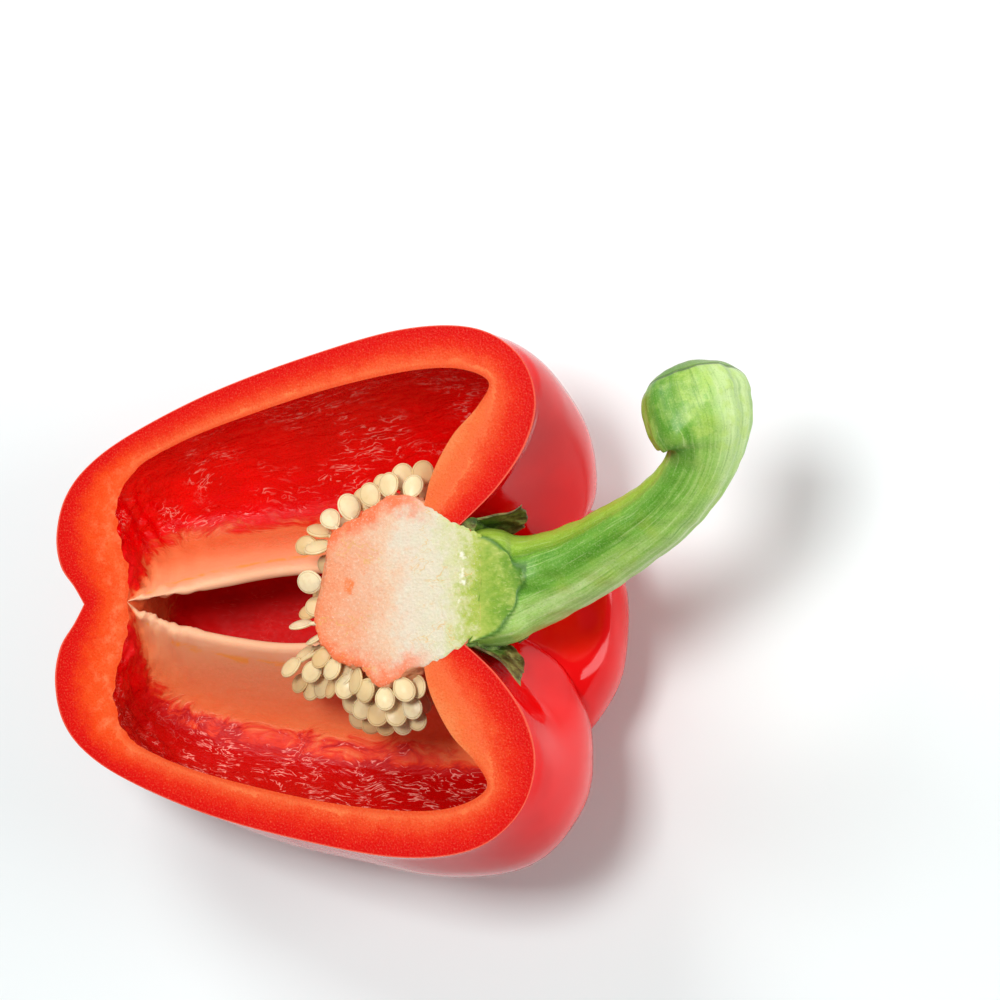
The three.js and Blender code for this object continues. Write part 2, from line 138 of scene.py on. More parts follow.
# The stem's swollen head: its middle, the way its cut end faces (up, back and away from the
# viewer), and how far that way from the middle the end's edge is.
HEAD_MIDDLE = (118.9, 25.8, 0.8)
HEAD_END = (-0.3, 0.95, -0.1)
HEAD_EDGE = 3.6
# The fold of the head over the stem: the side where it is, how far its middle is from the
# stem's end and how long it is along the stem, and how far it stands out and hangs back.
LIP_SIDE = np.array([-0.42, -0.2, 0.88])
LIP_FROM_END = 8
LIP_LENGTH = 3.8
LIP_OUT = 0.5
LIP_BACK = 4.0
# The stem's fibres run along it; their pattern is drawn on a cylinder of this radius.
GRAIN_RADIUS = 6.5
# The stem's foot is cut flat at this height, from the core as far as this x.
STEM_CUT = 0.12
CUT_TO = 87
# Calyx leaves: the angles where each starts and ends round the stem, then x and the distance
# from the axis of its two far corners.
CALYX_LEAVES = [
    (1, 37, (86.4, 12.1), (82.2, 11)), (41, 70, (82.6, 11.8), (83.4, 11.8)),
    (74, 108, (83.4, 11.8), (82.6, 11.8)), (112, 140, (81.5, 11.2), (79.8, 11)),
    (144, 179, (80.5, 11.1), (85.6, 16.6)),
]
CALYX_ROOT = (75.4, 10.1)

# How finely each surface is stepped.
ROWS = 150
WALL_COLUMNS = (58, 46, 54)
SEPTUM_COLUMNS = 13
CUT_STEPS = 18
STEM_STEPS = 230
STEM_COLUMNS = 97

# The camera: the direction to it from its target, its up direction, its target in millimetres
# of the row frame, and its distance in metres.
CAMERA_BACK = (0.2729, -0.1392, 0.9520)
CAMERA_UP = (0.0383, 0.9903, 0.1338)
CAMERA_TARGET = (21.5, 15.2, 49.6)
CAMERA_DISTANCE = 0.6
LENS_MM = 130.9

# Lights in the row frame, in metres: name, place, target, size and watts.
LIGHTS = [
    ("key", (-0.35, 0.7, 0.75), (0, 0, 0.02), (0.5, 0.35), 4.6),
    ("side", (0.85, 0.05, 0.22), (0.03, 0, 0.03), (1.0, 0.34), 6),
    ("top", (-0.05, 0.11, 1.17), (0, 0, 0), (0.3, 0.3), 8.3),
]
WORLD_STRENGTH = 0.2
FLOOR_HALF = 3
FLOOR_DROP = 0.00005


# ---- Small helpers ----

def smoothstep(low, high, value):
    t = np.clip((np.asarray(value, float) - low) / (high - low), 0, 1)
    return t * t * (3 - 2 * t)


def along(points, u):
    """Points of a smooth curve through the given points, for each u from 0 to 1."""
    points = np.array(points, float)
    last = len(points) - 1
    place = np.clip(np.asarray(u, float), 0, 1) * last
    i = np.minimum(place.astype(int), last - 1)
    t = (place - i)[..., None]
    start, end = points[i], points[i + 1]
    leave = (end - points[np.maximum(i - 1, 0)]) / 2
    arrive = (points[np.minimum(i + 2, last)] - start) / 2
    cubic = 2 * start - 2 * end + leave + arrive
    square = -3 * start + 3 * end - 2 * leave - arrive
    return ((cubic * t + square) * t + leave) * t + start


def place(x, r, psi, y=0.0):
    """Points at distance r from the axis, deeper round the stem where the fruit sinks."""
    turn = np.radians(psi)
    sink = smoothstep(68, 76, x) * (1 - smoothstep(10, 30, r))
    depth = r * np.sin(turn) * (1 + STEM_SINK * sink)
    return np.stack(np.broadcast_arrays(x, y + r * np.cos(turn), -depth), -1)


def to_table(points):
    """From the fruit's frame in millimetres to the row frame in metres."""
    x, y, z = np.moveaxis(np.asarray(points, float), -1, 0)
    across = x * math.cos(TIP) - z * math.sin(TIP) - CENTRE_X
    height = x * math.sin(TIP) + z * math.cos(TIP) + TABLE_DEPTH
    return np.stack([across, y - CENTRE_Y, np.maximum(height, 0.02)], -1) * MM


def grid_normals(points):
    """Unit normals of a grid of points, from rows towards columns."""
    forward = np.gradient(points, axis=0)
    sideways = np.gradient(points, axis=1)
    normal = np.cross(forward, sideways)
    length = np.linalg.norm(normal, axis=-1, keepdims=True)
    return normal / np.maximum(length, 1e-9)


def waves(points, size, seed, octaves):
    """Smooth seeded unevenness between about -1 and 1, a sum of turned sine waves."""
    rng = np.random.default_rng(seed)
    total = np.zeros(points.shape[:-1])
    for octave in range(octaves):
        for _ in range(6):
            direction = rng.normal(size=3)
            direction /= np.linalg.norm(direction)
            pitch = 2 * math.pi / size * 1.9**octave * rng.uniform(0.7, 1.3)
            phase = rng.uniform(0, 2 * math.pi)
            total += np.sin(points @ direction * pitch + phase) * 0.55**octave
    return total / 4


class Shell:
    """Collects grids of points and joins them into one mesh with named values per point."""

    def __init__(self):
        self.points = []
        self.faces = []
        self.slots = []
        self.values = {}
        self.count = 0

    def grid(self, points, slot=0, flip=False, **values):
        rows, columns = points.shape[:2]
        index = np.arange(rows * columns).reshape(rows, columns) + self.count
        a, b = index[:-1, :-1], index[1:, :-1]
        c, d = index[1:, 1:], index[:-1, 1:]
        quads = np.stack([a, d, c, b] if flip else [a, b, c, d], -1).reshape(-1, 4)
        self.points.append(points.reshape(-1, 3))
        self.faces.extend(quads.tolist())
        self.slots.extend([slot] * len(quads))
        for name, value in values.items():
            shape = (rows, columns, 3) if np.ndim(value) == 3 else (rows, columns)
            flat = np.broadcast_to(value, shape).reshape(rows * columns, -1)
            self.values.setdefault(name, {})[self.count] = flat
        self.count += rows * columns

    def build(self, name, materials, weld=2e-6, sharp=50):
        own = np.concatenate(self.points)
        mesh = bpy.data.meshes.new(name)
        mesh.from_pydata(to_table(own).tolist(), [], self.faces)
        for material in materials:
            mesh.materials.append(material)
        mesh.polygons.foreach_set("material_index", self.slots)
        self.values["own"] = {0: own}
        for key, parts in self.values.items():
            wide = max(part.shape[1] for part in parts.values())
            flat = np.zeros((self.count, wide))
            for start, part in parts.items():
                flat[start:start + len(part)] = part
            kind, field = ("FLOAT_VECTOR", "vector") if wide == 3 else ("FLOAT", "value")
            attribute = mesh.attributes.new(key, kind, "POINT")
            attribute.data.foreach_set(field, flat.ravel())
        tidy_mesh(mesh, weld)
        mesh.shade_smooth()
        mesh.set_sharp_from_angle(angle=math.radians(sharp))
        piece = bpy.data.objects.new(name, mesh)
        bpy.context.scene.collection.objects.link(piece)
        return piece


def tidy_mesh(mesh, weld):
    work = bmesh.new()
    work.from_mesh(mesh)
    bmesh.ops.remove_doubles(work, verts=work.verts, dist=weld)
    bmesh.ops.dissolve_degenerate(work, edges=work.edges, dist=1e-7)
    bmesh.ops.recalc_face_normals(work, faces=work.faces)
    work.to_mesh(mesh)
    work.free()


# ---- Materials ----

def rgb(red, green, blue):
    """A colour given as it looks on screen, 0 to 255."""
    def linear(part):
        part /= 255
        return part / 12.92 if part <= 0.04045 else ((part + 0.055) / 1.055) ** 2.4
    return (linear(red), linear(green), linear(blue), 1.0)


class Paint:
    """A procedural material, node by node."""

    def __init__(self, name, roughness=0.5, shine=0.3, **numbers):
        self.material = bpy.data.materials.new(name)
        self.material.use_nodes = True
        self.tree = self.material.node_tree
        self.shader = self.tree.nodes["Principled BSDF"]
        self.shader.inputs["Roughness"].default_value = roughness
        self.shader.inputs["Specular IOR Level"].default_value = shine
        for key, value in numbers.items():
            self.shader.inputs[key.replace("_", " ")].default_value = value
        self.color = None

    def node(self, kind, settings=None, **inputs):
        node = self.tree.nodes.new(kind)
        for key, value in (settings or {}).items():
            setattr(node, key, value)
        for key, value in inputs.items():
            self.feed(node.inputs[key.replace("_", " ")], value)
        return node

    def feed(self, socket, value):
        if isinstance(value, bpy.types.NodeSocket):
            self.tree.links.new(value, socket)
        else:
            socket.default_value = value

    def value(self, name):
        return self.node("ShaderNodeAttribute", {"attribute_name": name}).outputs["Fac"]

    def vector(self, name):
        return self.node("ShaderNodeAttribute", {"attribute_name": name}).outputs["Vector"]

    def part(self, vector, axis):
        return self.node("ShaderNodeSeparateXYZ", Vector=vector).outputs[axis]

    def stretched(self, vector, factors):
        node = self.node("ShaderNodeVectorMath", {"operation": "MULTIPLY"})
        self.feed(node.inputs[0], vector)
        self.feed(node.inputs[1], factors)
        return node.outputs[0]

    def noise(self, vector, scale, detail=3.0, roughness=0.55, distortion=0.0):
        return self.node("ShaderNodeTexNoise", Vector=vector, Scale=scale, Detail=detail,
                         Roughness=roughness, Distortion=distortion).outputs["Fac"]

    def swirled(self, vector, size, push):
        """The place, pushed about by smooth noise, so that a pattern on it swirls."""
        drift = self.node("ShaderNodeTexNoise", Vector=vector, Scale=1 / size, Detail=2.0)
        node = self.node("ShaderNodeVectorMath", {"operation": "MULTIPLY_ADD"})
        self.feed(node.inputs[0], drift.outputs["Color"])
        self.feed(node.inputs[1], (push, push, push))
        self.feed(node.inputs[2], vector)
        return node.outputs[0]

    def near(self, value, middle, low, high):
        """1 where value is within low of middle, fading to 0 at high from it."""
        off = self.math("ABSOLUTE", self.math("SUBTRACT", value, middle))
        return self.fade(off, high, low)

    def cells(self, vector, scale):
        return self.node("ShaderNodeTexVoronoi", Vector=vector, Scale=scale).outputs["Distance"]

    def math(self, operation, first, second=0.0, third=None):
        node = self.node("ShaderNodeMath", {"operation": operation})
        self.feed(node.inputs[0], first)
        self.feed(node.inputs[1], second)
        if third is not None:
            self.feed(node.inputs[2], third)
        return node.outputs[0]

    def times(self, *parts):
        """The product of two or more values."""
        result = parts[0]
        for part in parts[1:]:
            result = self.math("MULTIPLY", result, part)
        return result

    def plus(self, first, second):
        return self.math("ADD", first, second)

    def centred(self, value, spread):
        """A value from 0 to 1, spread evenly to both sides of 0."""
        return self.math("MULTIPLY_ADD", value, spread, -spread / 2)

    def fade(self, value, low, high, end=1.0, start=0.0):
        """A smooth change from start to end as value goes from low to high."""
        node = self.node("ShaderNodeMapRange", {"interpolation_type": "SMOOTHSTEP"})
        for key, number in zip(("Value", "From Min", "From Max", "To Min", "To Max"),
                               (value, low, high, start, end)):
            self.feed(node.inputs[key], number)
        return node.outputs[0]

    def ramp(self, value, stops):
        node = self.node("ShaderNodeValToRGB", Fac=value)
        elements = node.color_ramp.elements
        while len(elements) < len(stops):
            elements.new(1.0)
        for element, (position, color) in zip(elements, stops):
            element.position = position
            element.color = color
        return node.outputs["Color"]

    def mix(self, share, first, second):
        node = self.node("ShaderNodeMix", {"data_type": "RGBA"})
        self.feed(node.inputs[0], share)
        self.feed(node.inputs[6], first)
        self.feed(node.inputs[7], second)
        return node.outputs[2]

    def bump(self, height, depth_mm, strength, base=None):
        node = self.node("ShaderNodeBump", Strength=strength, Distance=depth_mm * MM, Height=height)
        if base is not None:
            self.feed(node.inputs["Normal"], base)
        return node.outputs["Normal"]

    def over(self, tint, *shares):
        """Lays a tint over the colour so far, by the product of the shares."""
        self.color = self.mix(self.times(*shares), self.color, tint)

    def finish(self, roughness=None, normal=None):
        self.feed(self.shader.inputs["Base Color"], self.color)
        if roughness is not None:
            self.feed(self.shader.inputs["Roughness"], roughness)
        if normal is not None:
            self.feed(self.shader.inputs["Normal"], normal)
        return self.material


def translucent(paint, weight, reach_mm, tint):
    """Light that wanders a little way inside soft flesh."""
    paint.shader.inputs["Subsurface Weight"].default_value = weight
    paint.shader.inputs["Subsurface Radius"].default_value = tint
    paint.shader.inputs["Subsurface Scale"].default_value = reach_mm * MM


def skin_material():
    paint = Paint("glossy_red_skin", 0.18, 0.26, Coat_Weight=0.1, Coat_Roughness=0.05)
    own = paint.vector("own")
    cloudy = paint.noise(own, 0.05, 3)
    speck = paint.cells(own, 1.1)
    paint.color = paint.mix(paint.fade(cloudy, 0.35, 0.65), rgb(216, 0, 3), rgb(232, 3, 5))
    paint.over(rgb(245, 60, 40), paint.fade(speck, 0.12, 0.02, 0.1))
    rough = paint.fade(paint.noise(own, 0.4), 0.3, 0.7, 0.15, 0.1)
    wavy = paint.bump(paint.noise(own, 0.12, 1), 0.5, 0.35)
    translucent(paint, 0.06, 1.5, (1, 0.12, 0.08))
    return paint.finish(rough, wavy)


def cut_material():
    paint = Paint("cut_flesh", 0.32, 0.16)
    own = paint.vector("own")
    depth = paint.value("depth")
    drift = paint.centred(paint.noise(own, 0.25, 5, 0.65), 0.4)
    fine = paint.centred(paint.noise(own, 1.6, 3), 0.2)
    x, y = paint.part(own, 0), paint.math("ABSOLUTE", paint.part(own, 1))
    shoulder = paint.times(paint.fade(x, 62, 76), paint.fade(y, 34, 22))
    reach = paint.math("MULTIPLY_ADD", shoulder, 0.32, 0.8)
    level = paint.plus(paint.times(depth, reach), paint.plus(drift, fine))
    paint.color = paint.ramp(level, [
        (0, rgb(212, 5, 2)), (0.16, rgb(218, 13, 5)), (0.36, rgb(225, 36, 10)),
        (0.56, rgb(233, 76, 34)), (0.72, rgb(237, 104, 56)), (0.88, rgb(236, 108, 54)),
        (1, rgb(236, 126, 70)),
    ])
    paint.over(rgb(226, 58, 16), paint.fade(depth, 0.86, 0.96), paint.fade(shoulder, 0.6, 0.1), 0.6)
    grain = paint.noise(own, 3.2, 3, 0.7)
    paint.over(rgb(248, 142, 96), paint.fade(grain, 0.52, 0.72, 0.28))
    paint.over(rgb(200, 14, 2), paint.fade(grain, 0.46, 0.3, 0.24))
    vessels = paint.near(level, 0.66, 0, 0.05)
    paint.over(rgb(246, 140, 82), vessels, paint.fade(paint.noise(own, 0.11, 2), 0.5, 0.62, 0.5))
    blossom = paint.fade(x, 16, 4, 0.6)
    paint.over(rgb(244, 80, 16), blossom, paint.fade(level, 0.15, 0.5))
    lumps = paint.fade(paint.noise(own, 0.4, 4, 0.6), 0.44, 0.74, 0.9)
    paint.over(rgb(248, 150, 100), blossom, lumps, paint.fade(depth, 0.45, 0.8))
    # Painted highlight: a thin pale line on the cut face along the skin's edge.
    paint.over(rgb(246, 120, 92), paint.fade(depth, 0.035, 0.012), 0.6)
    cell = paint.bump(paint.cells(own, 2.2), 0.12, 0.5)
    normal = paint.bump(grain, 0.08, 0.6, cell)
    rough = paint.fade(grain, 0.35, 0.7, 0.48, 0.26)
    translucent(paint, 0.2, 2, (1, 0.28, 0.12))
    return paint.finish(rough, normal)


def hollow_material():
    paint = Paint("inner_wall", 0.24, 0.22)
    own = paint.vector("own")
    flow = paint.swirled(own, 11, 9)
    fibres = paint.noise(paint.stretched(flow, (0.14, 0.5, 0.5)), 1, 4, 0.6, 0.4)
    wide = paint.noise(own, 0.06, 2)
    ragged = paint.centred(fibres, 0.8)
    ragged = paint.plus(ragged, paint.centred(wide, 0.6))
    pale = paint.plus(paint.value("pale"), ragged)
    cloudy = paint.noise(own, 0.16, 4)
    red = paint.mix(paint.fade(cloudy, 0.35, 0.7), rgb(226, 0, 1), rgb(240, 0, 2))
    # Painted shade: the red darkens towards the -y side, over the lower hollow.
    shaded = paint.fade(paint.part(own, 1), -9, -20, 0.9)
    red = paint.mix(shaded, red, rgb(186, 3, 3))
    # Painted glints: thin broken strokes of pale pink over the red stand in for wet highlights; the same
    # strokes also raise the folds in the bump.
    strokes = paint.noise(paint.stretched(flow, (0.17, 1.05, 1.05)), 1, 2, 0.5)
    thin = paint.near(strokes, 0.5, 0.004, 0.036)
    broken = paint.fade(paint.noise(paint.stretched(own, (0.28, 0.55, 0.55)), 1, 2), 0.45, 0.55)
    low = paint.fade(paint.part(own, 1), -12, -22, 0.1)
    patches = paint.fade(paint.plus(paint.noise(own, 0.07, 2), low), 0.44, 0.58)
    outer = paint.fade(paint.math("ABSOLUTE", paint.part(own, 1)), 6, 13, 1, 0.12)
    painted_glints = paint.times(thin, broken, patches, outer, 0.9)
    red = paint.mix(painted_glints, red, rgb(252, 164, 150))
    rise = paint.value("rise")
    spread = paint.plus(rise, paint.centred(fibres, 0.3))
    flesh = paint.ramp(spread, [
        (0, rgb(233, 96, 48)), (0.18, rgb(240, 132, 80)), (0.45, rgb(243, 152, 102)),
        (0.8, rgb(245, 168, 120)), (1, rgb(248, 186, 146)),
    ])
    fleck = paint.times(paint.near(rise, 0.8, 0.01, 0.07), paint.fade(fibres, 0.48, 0.6, 0.75))
    flesh = paint.mix(fleck, flesh, rgb(252, 160, 52))
    paint.color = paint.mix(paint.fade(pale, 0.34, 0.48), red, rgb(228, 52, 18))
    paint.over(flesh, paint.fade(pale, 0.44, 0.6))
    calm = paint.times(paint.fade(pale, 0.4, 0.7, 0.2, 1), outer)
    folds = paint.bump(paint.times(strokes, calm), 0.4, 0.6)
    creases = paint.bump(paint.times(fibres, calm), 0.6, 0.28, folds)
    rough = paint.fade(paint.noise(own, 1.2), 0.3, 0.7, 0.34, 0.18)
    rough = paint.plus(rough, paint.fade(outer, 0.3, 0.9, 0, 0.4))
    border = paint.near(pale, 0.42, 0.08, 0.25)
    rough = paint.plus(rough, paint.times(border, 0.25))
    translucent(paint, 0.15, 2.5, (1, 0.2, 0.1))
    return paint.finish(rough, creases)


def core_color(paint, own):
    """Pink at the seed end, through cream and white, to the stem's yellow-green."""
    x = paint.part(own, 0)
    drift = paint.centred(paint.noise(own, 0.2, 4), 12)
    fine = paint.centred(paint.noise(own, 0.8, 4, 0.7), 6)
    level = paint.plus(paint.plus(x, drift), fine)
    share = paint.math("DIVIDE", paint.math("SUBTRACT", level, 46), 42)
    return paint.ramp(share, [
        (0, rgb(238, 132, 84)), (0.12, rgb(238, 156, 114)), (0.28, rgb(234, 178, 144)),
        (0.38, rgb(233, 196, 164)), (0.47, rgb(228, 213, 190)), (0.6, rgb(224, 217, 190)),
        (0.69, rgb(212, 212, 158)), (0.76, rgb(176, 192, 84)), (0.86, rgb(132, 168, 50)),
        (1, rgb(92, 142, 36)),
    ])


def core_material():
    paint = Paint("spongy_core", 0.5, 0.15)
    own = paint.vector("own")
    paint.color = core_color(paint, own)
    rim = paint.value("rim")
    uneven = paint.centred(paint.noise(own, 0.5, 4), 0.5)
    edge = paint.fade(paint.plus(rim, uneven), 0.68, 0.98, 0.9)
    paint.over(rgb(242, 112, 62), edge, paint.fade(paint.part(own, 0), 72, 64))
    x, y = paint.part(own, 0), paint.part(own, 1)
    wander = paint.noise(paint.stretched(own, (0.3, 1, 0.2)), 0.35, 4, 0.7)
    torn = paint.plus(x, paint.centred(wander, 5))
    inside = paint.times(paint.near(y, 1.5, 4.5, 6.5), paint.fade(paint.noise(own, 0.45, 2), 0.46, 0.58))
    # A white tear across the core, and beside it a painted shadow: a thin dark olive line.
    tear_shadow = paint.times(paint.near(torn, 76.9, 0.05, 0.4), inside)
    lip = paint.times(paint.near(torn, 76.1, 0.2, 0.9), inside)
    paint.over(rgb(250, 247, 228), lip, 0.9)
    paint.over(rgb(158, 158, 84), tear_shadow, 0.55)
    veins = paint.noise(paint.stretched(paint.swirled(own, 6, 5), (0.2, 0.5, 0.5)), 1, 2)
    broken = paint.fade(paint.noise(own, 0.12, 2), 0.5, 0.6, 0.5)
    paint.over(rgb(226, 178, 84), paint.near(veins, 0.5, 0.004, 0.02), broken)
    scar = paint.node("ShaderNodeVectorMath", {"operation": "DISTANCE"})
    paint.feed(scar.inputs[0], paint.stretched(paint.swirled(own, 1, 2.6), (1, 0.55, 1)))
    paint.feed(scar.inputs[1], (55.8, 0.8, 1.3))
    scar = paint.fade(scar.outputs["Value"], 1.2, 0.5, 0.8)
    paint.over(rgb(238, 118, 44), scar)
    grain = paint.noise(own, 2.6, 4, 0.75)
    paint.over(rgb(250, 240, 220), paint.fade(grain, 0.52, 0.72, 0.4))
    pits = paint.mix(paint.fade(x, 58, 68), rgb(232, 112, 66), rgb(212, 190, 130))
    paint.over(pits, paint.fade(grain, 0.46, 0.28, 0.45))
    cell = paint.bump(paint.cells(own, 1.7), 0.14, 0.5)
    normal = paint.bump(grain, 0.18, 0.7, cell)
    translucent(paint, 0.2, 1.5, (1, 0.5, 0.3))
    return paint.finish(paint.fade(grain, 0.3, 0.7, 0.62, 0.4), normal)


def core_side_material():
    paint = Paint("core_underside", 0.45)
    own = paint.vector("own")
    cloudy = paint.noise(own, 0.3, 4)
    paint.color = paint.mix(paint.fade(cloudy, 0.35, 0.65), rgb(240, 136, 92), rgb(248, 178, 134))
    normal = paint.bump(paint.noise(own, 1.2, 4), 0.3, 0.6)
    translucent(paint, 0.15, 1.5, (1, 0.4, 0.2))
    return paint.finish(None, normal)


def seed_material():
    paint = Paint("cream_seed", 0.4, Coat_Weight=0.15, Coat_Roughness=0.25)
    own = paint.vector("own")
    tone = paint.value("tone")
    rim = paint.value("rim")
    paint.color = paint.ramp(tone, [
        (0, rgb(222, 186, 130)), (0.3, rgb(231, 202, 150)), (0.7, rgb(238, 214, 166)),
        (1, rgb(242, 223, 182)),
    ])
    cloudy = paint.noise(own, 0.9, 3)
    paint.over(rgb(222, 192, 138), paint.fade(cloudy, 0.45, 0.7, 0.35))
    # Painted shade: a darker line in the groove inside the rim, and a warmer, darker tint on the seed's
    # outer edge.
    groove = paint.times(paint.near(rim, 0.8, 0, 0.07), 0.5)
    paint.over(rgb(190, 140, 76), groove)
    paint.over(rgb(226, 176, 104), paint.fade(rim, 0.93, 1, 0.35))
    normal = paint.bump(paint.noise(own, 3, 3, 0.7), 0.05, 0.6)
    normal = paint.bump(groove, -0.15, 0.8, normal)
    translucent(paint, 0.2, 1.2, (1, 0.6, 0.3))
    return paint.finish(paint.fade(cloudy, 0.3, 0.7, 0.5, 0.34), normal)


def stem_material():
    paint = Paint("green_stem", 0.42, Coat_Weight=0.12, Coat_Roughness=0.25)
    own = paint.vector("own")
    grain = paint.vector("grain")
    broad = paint.noise(paint.stretched(grain, (0.03, 0.42, 0.42)), 1, 3, 0.6, 0.05)
    hairs = paint.noise(paint.stretched(grain, (0.09, 1.7, 1.7)), 1, 4, 0.65, 0.05)
    velvet = paint.noise(own, 1.8, 4, 0.7)
    streak = paint.plus(paint.times(broad, 0.5), paint.times(hairs, 0.3))
    streak = paint.plus(streak, paint.times(velvet, 0.2))
    fibre = paint.noise(paint.stretched(grain, (0.12, 2.6, 2.6)), 1, 3, 0.6, 0.05)
    blotch = paint.noise(own, 0.16, 3)
    # Painted light and shade by side: the shade value is near 1 on one flank and near -1 on the other;
    # the stem is paler on the first and yellow-green on the other, and on the head pale and yellow the
    # same way.
    shade = paint.value("shade")
    level = paint.plus(streak, paint.times(paint.fade(shade, 0, 0.9), 0.22))
    paint.color = paint.ramp(level, [
        (0.3, rgb(60, 124, 20)), (0.43, rgb(96, 156, 40)), (0.54, rgb(124, 178, 62)),
        (0.68, rgb(156, 196, 96)), (0.84, rgb(206, 224, 160)),
    ])
    paint.over(rgb(172, 198, 66), paint.fade(blotch, 0.5, 0.7, 0.35))
    paint.over(rgb(182, 198, 56), paint.fade(shade, -0.35, -0.95, 0.55))
    head = paint.fade(paint.part(own, 1), 12, 20)
    paint.over(rgb(206, 226, 160), head, paint.fade(shade, 0.72, 0.98, 0.7))
    paint.over(rgb(150, 182, 30), head, paint.fade(shade, -0.1, -0.7, 0.6))
    paint.over(rgb(90, 150, 32), head, paint.fade(broad, 0.45, 0.6, 0.5))
    paint.over(rgb(176, 206, 96), head, paint.fade(paint.noise(own, 0.45, 4), 0.46, 0.62, 0.6))
    middle = paint.plus(shade, paint.centred(broad, 1.2))
    middle = paint.times(paint.near(middle, 0.05, 0.08, 0.45), 0.5)
    paint.over(rgb(70, 134, 26), middle)
    paint.over(rgb(214, 232, 160), paint.fade(fibre, 0.55, 0.75, 0.4))
    paint.over(rgb(58, 122, 24), paint.fade(fibre, 0.44, 0.27, 0.4))
    speck = paint.noise(own, 3.4, 3, 0.75)
    paint.over(rgb(204, 224, 150), paint.fade(speck, 0.52, 0.7, 0.3))
    paint.over(rgb(60, 120, 26), paint.fade(speck, 0.46, 0.3, 0.35))
    cap = paint.plus(paint.value("cap"), paint.centred(paint.noise(own, 0.35, 3), 0.8))
    crease = paint.near(cap, HEAD_EDGE, 0.05, 0.4)
    end = paint.mix(blotch, rgb(56, 110, 26), rgb(120, 158, 60))
    paint.over(end, paint.fade(cap, HEAD_EDGE - 0.1, HEAD_EDGE + 0.2, 0.75))
    # Painted shade: a dark line in the crease round the edge of the head's end.
    paint.over(rgb(40, 74, 18), crease, 0.6)
    # Painted shade along the edge where the stem is cut flat.
    paint.over(rgb(62, 108, 26), paint.value("rimmed"))
    normal = paint.bump(fibre, 0.14, 0.6)
    normal = paint.bump(speck, 0.1, 0.5, normal)
    normal = paint.bump(crease, -0.5, 0.8, normal)
    translucent(paint, 0.1, 1, (0.5, 1, 0.3))
    return paint.finish(paint.fade(fibre, 0.3, 0.7, 0.5, 0.36), normal)


def stem_cut_material():
    paint = Paint("cut_stem_base", 0.42, Coat_Weight=0.15, Coat_Roughness=0.25)
    own = paint.vector("own")
    paint.color = core_color(paint, own)
    grain = paint.noise(paint.stretched(own, (0.7, 1.4, 1)), 1.3, 4, 0.7)
    past = paint.fade(paint.part(own, 0), 78.8, 83)
    paint.over(rgb(220, 226, 140), past, paint.fade(grain, 0.5, 0.75, 0.45))
    paint.over(rgb(104, 150, 32), past, paint.fade(grain, 0.46, 0.28, 0.4))
    paint.over(rgb(224, 226, 130), past, paint.fade(paint.noise(own, 0.3, 3), 0.44, 0.78, 0.6))
    # Painted shade along the edge where the stem is cut flat.
    paint.over(rgb(66, 118, 26), paint.value("rimmed"))
    normal = paint.bump(grain, 0.2, 0.6)
    translucent(paint, 0.15, 1, (0.6, 1, 0.3))
    return paint.finish(None, normal)


def stem_end_material():
    paint = Paint("stem_end", 0.6)
    own = paint.vector("own")
    rough = paint.noise(own, 0.9, 4, 0.7)
    paint.color = paint.ramp(rough, [
        (0.3, rgb(112, 104, 56)), (0.5, rgb(150, 152, 84)), (0.7, rgb(190, 186, 128)),
    ])
    return paint.finish(None, paint.bump(rough, 0.4, 0.8))


def calyx_material():
    paint = Paint("leafy_calyx", 0.5, Coat_Weight=0.1, Coat_Roughness=0.3)
    own = paint.vector("own")
    tip = paint.value("tip")
    mottle = paint.noise(own, 0.45, 4, 0.65)
    green = paint.ramp(mottle, [
        (0.32, rgb(36, 52, 12)), (0.46, rgb(66, 92, 26)), (0.58, rgb(98, 130, 46)),
        (0.72, rgb(146, 168, 88)),
    ])
    brown = paint.ramp(mottle, [
        (0.32, rgb(44, 22, 8)), (0.48, rgb(92, 68, 30)), (0.68, rgb(146, 130, 72)),
    ])
    patch = paint.centred(paint.noise(own, 0.25, 3), 1.4)
    dry = paint.fade(paint.plus(tip, patch), 0.28, 0.55)
    paint.color = paint.mix(paint.times(dry, 0.88), green, brown)
    veins = paint.noise(paint.stretched(own, (0.4, 1.6, 1.6)), 1, 3)
    paint.over(rgb(150, 168, 96), paint.fade(veins, 0.56, 0.66, 0.4))
    normal = paint.bump(veins, 0.3, 0.7)
    normal = paint.bump(paint.noise(own, 3, 3), 0.1, 0.5, normal)
    return paint.finish(paint.fade(mottle, 0.3, 0.7, 0.62, 0.42), normal)


def floor_material():
    paint = Paint("pale_floor", 0.6)
    place = paint.node("ShaderNodeTexCoord").outputs["Object"]
    faint = paint.noise(place, 6, 2)
    paint.color = paint.mix(paint.fade(faint, 0.3, 0.7), (0.8, 0.85, 0.85, 1), (0.82, 0.87, 0.87, 1))
    return paint.finish()


# ---- Flesh ----

def lobe(psi, flat, rounding):
    fullest = np.zeros_like(psi)
    for middle, half in LOBES:
        off = np.abs(psi - middle) / half
        fullest = np.where(off < 1, (1 - np.minimum(off, 1) ** flat) ** rounding, fullest)
    return fullest


def fullness(psi):
    psi = np.asarray(psi, float)
    result = np.full(psi.shape, FULLNESS[0][1], float)
    for (start, low), (end, high) in zip(FULLNESS, FULLNESS[1:]):
        share = smoothstep(start, end, psi)
        result = np.where(psi > start, low + (high - low) * share, result)
    return result


def between(furrow, ridge, share, u, psi):
    low, high = along(furrow, u), along(ridge, u)
    outline = low + (high - low) * share[..., None]
    return place(outline[..., 0], outline[..., 1] * fullness(psi), psi)


def skin(u, psi):
    return between(SKIN_FURROW, SKIN_RIDGE, lobe(psi, 2.6, 0.62), u, psi)


def hollow(u, psi):
    return between(HOLLOW_FURROW, HOLLOW_RIDGE, lobe(psi, 2.2, 0.8), u, psi)


